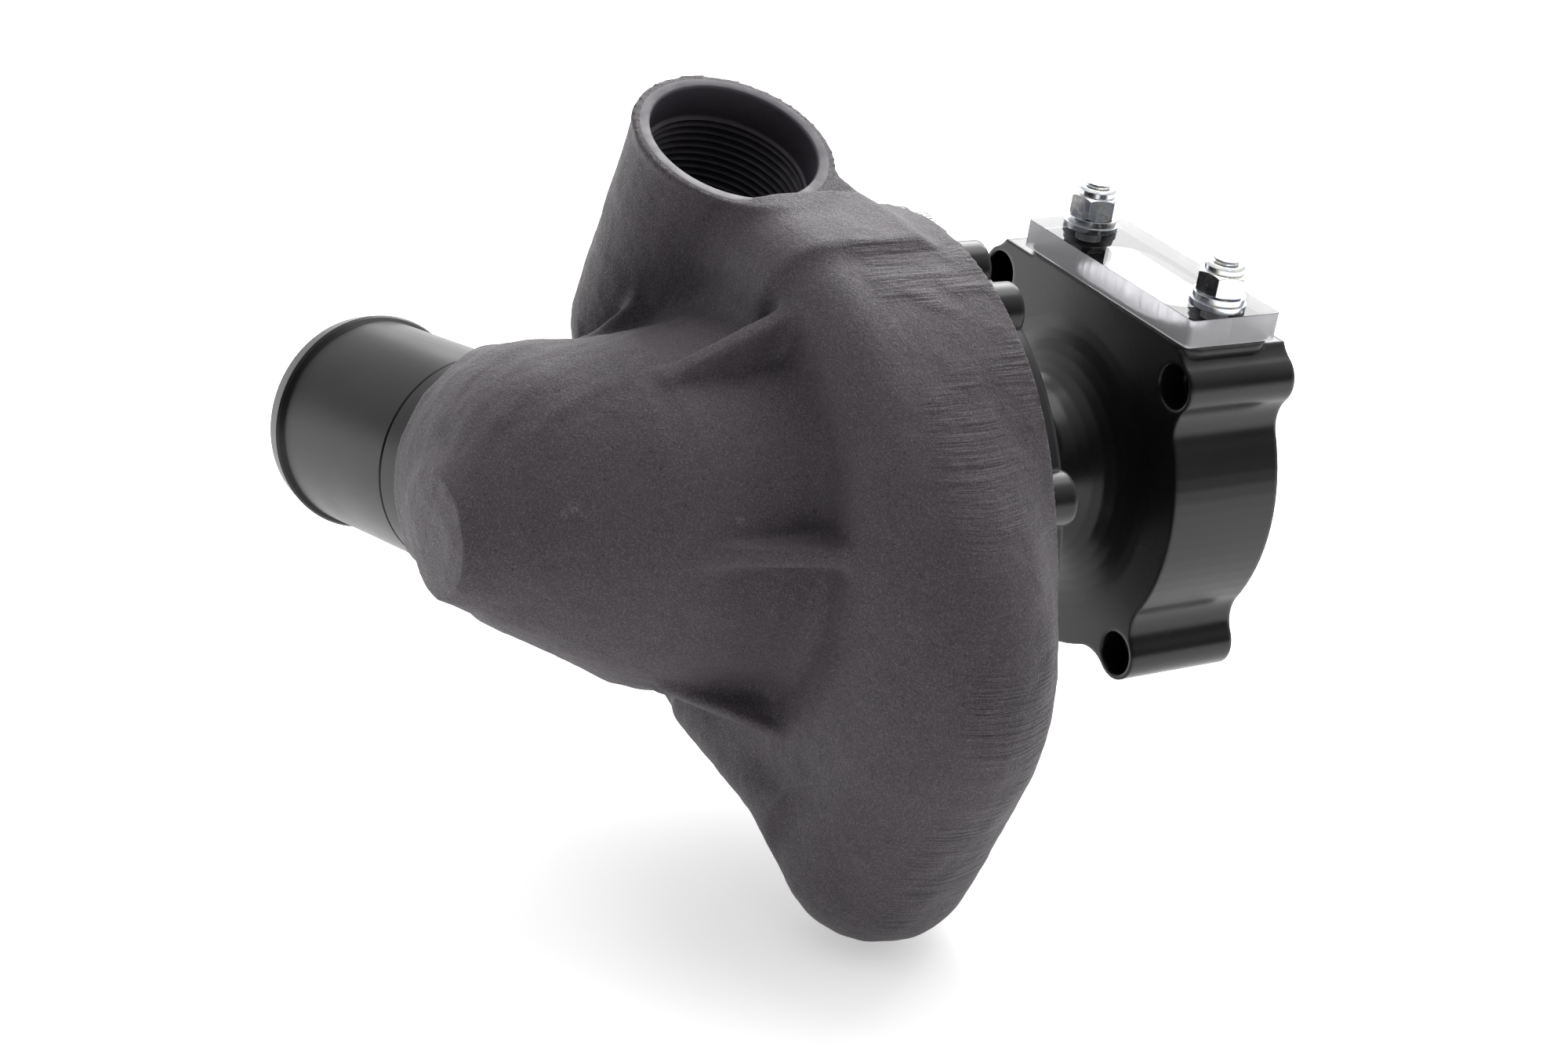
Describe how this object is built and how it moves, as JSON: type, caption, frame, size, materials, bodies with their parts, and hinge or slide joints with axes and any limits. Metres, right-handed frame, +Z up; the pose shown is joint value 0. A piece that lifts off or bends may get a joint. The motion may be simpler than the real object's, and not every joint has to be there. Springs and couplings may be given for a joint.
{
  "type": "centrifugal supercharger head unit",
  "caption": "Gear-driven centrifugal supercharger head unit: cast volute with threaded outlet, elbow inlet with hose tube, drive housing with clear inspection window.",
  "frame": {"origin": "centre of the four-hole rear mounting face, on the rotor axis", "axes": "+Y towards the drive end along the rotor axis, +Z up out of the inspection window, +X to the side of the blind lobe"},
  "size_m": [0.1884, 0.2314, 0.1785],
  "materials": {
    "cast_aluminium": "sand cast, matt and granular",
    "machined_aluminium": "milled",
    "black_anodised": "satin black anodised",
    "rubber": "matt",
    "clear_plastic": "clear, sawn edges",
    "zinc_steel": "zinc plated",
    "bright_steel": "ground",
    "nylon": "matt"
  },
  "bodies": {
    "housing": {"volute_housing": "cast_aluminium", "inlet_tube": "black_anodised", "inlet_tube_oring": "rubber", "back_plate": "black_anodised", "back_plate_oring": "rubber", "back_plate_screws": "zinc_steel", "back_plate_dowels": "bright_steel", "hub_screws": "zinc_steel", "shaft_seal": "rubber", "drive_housing": "black_anodised", "rear_cover": "black_anodised", "rear_cover_oring": "rubber", "rear_cover_screws": "zinc_steel", "input_seal": "rubber", "front_bearing_outer": "bright_steel", "rear_bearing_outer": "bright_steel", "input_front_bearing_outer": "bright_steel", "input_rear_bearing_outer": "bright_steel", "bearing_circlip": "bright_steel", "window_gasket": "rubber", "window_cover": "clear_plastic", "window_studs": "zinc_steel", "flat_washers": "zinc_steel", "spring_washers": "zinc_steel", "lock_nuts": "zinc_steel", "lock_nut_inserts": "nylon"},
    "input": {"input_shaft": "bright_steel", "drive_gear": "bright_steel", "drive_gear_key": "bright_steel", "input_circlip": "bright_steel", "input_front_bearing_inner": "bright_steel", "input_rear_bearing_inner": "bright_steel"},
    "rotor": {"pinion_shaft": "bright_steel", "impeller": "machined_aluminium", "impeller_nut": "bright_steel", "seal_sleeve": "bright_steel", "bearing_spacer": "bright_steel", "front_bearing_inner": "bright_steel", "rear_bearing_inner": "bright_steel"},
    "rotor_balls": {"front_bearing_balls": "bright_steel", "rear_bearing_balls": "bright_steel"},
    "input_front_balls": {"input_front_bearing_balls": "bright_steel"},
    "input_rear_balls": {"input_rear_bearing_balls": "bright_steel"}
  },
  "joints": [
    {"name": "input_spin", "type": "hinge", "parent": "housing", "child": "input", "pos_m": [0.0054, 0, 0.01842], "axis": [0, 1, 0], "continuous": true},
    {"name": "rotor_spin", "type": "hinge", "parent": "housing", "child": "rotor", "pos_m": [0, 0, 0], "axis": [0, 1, 0], "continuous": true},
    {"name": "rotor_balls_spin", "type": "hinge", "parent": "housing", "child": "rotor_balls", "pos_m": [0, 0, 0], "axis": [0, 1, 0], "continuous": true},
    {"name": "input_front_balls_spin", "type": "hinge", "parent": "housing", "child": "input_front_balls", "pos_m": [0.0054, 0, 0.01842], "axis": [0, 1, 0], "continuous": true},
    {"name": "input_rear_balls_spin", "type": "hinge", "parent": "housing", "child": "input_rear_balls", "pos_m": [0.0054, 0, 0.01842], "axis": [0, 1, 0], "continuous": true}
  ],
  "couplings": [
    {"joint": "rotor_spin", "follows": "input_spin", "ratio": -3},
    {"joint": "rotor_balls_spin", "follows": "input_spin", "ratio": -1.1167},
    {"joint": "input_front_balls_spin", "follows": "input_spin", "ratio": 0.4212},
    {"joint": "input_rear_balls_spin", "follows": "input_spin", "ratio": 0.38}
  ]
}
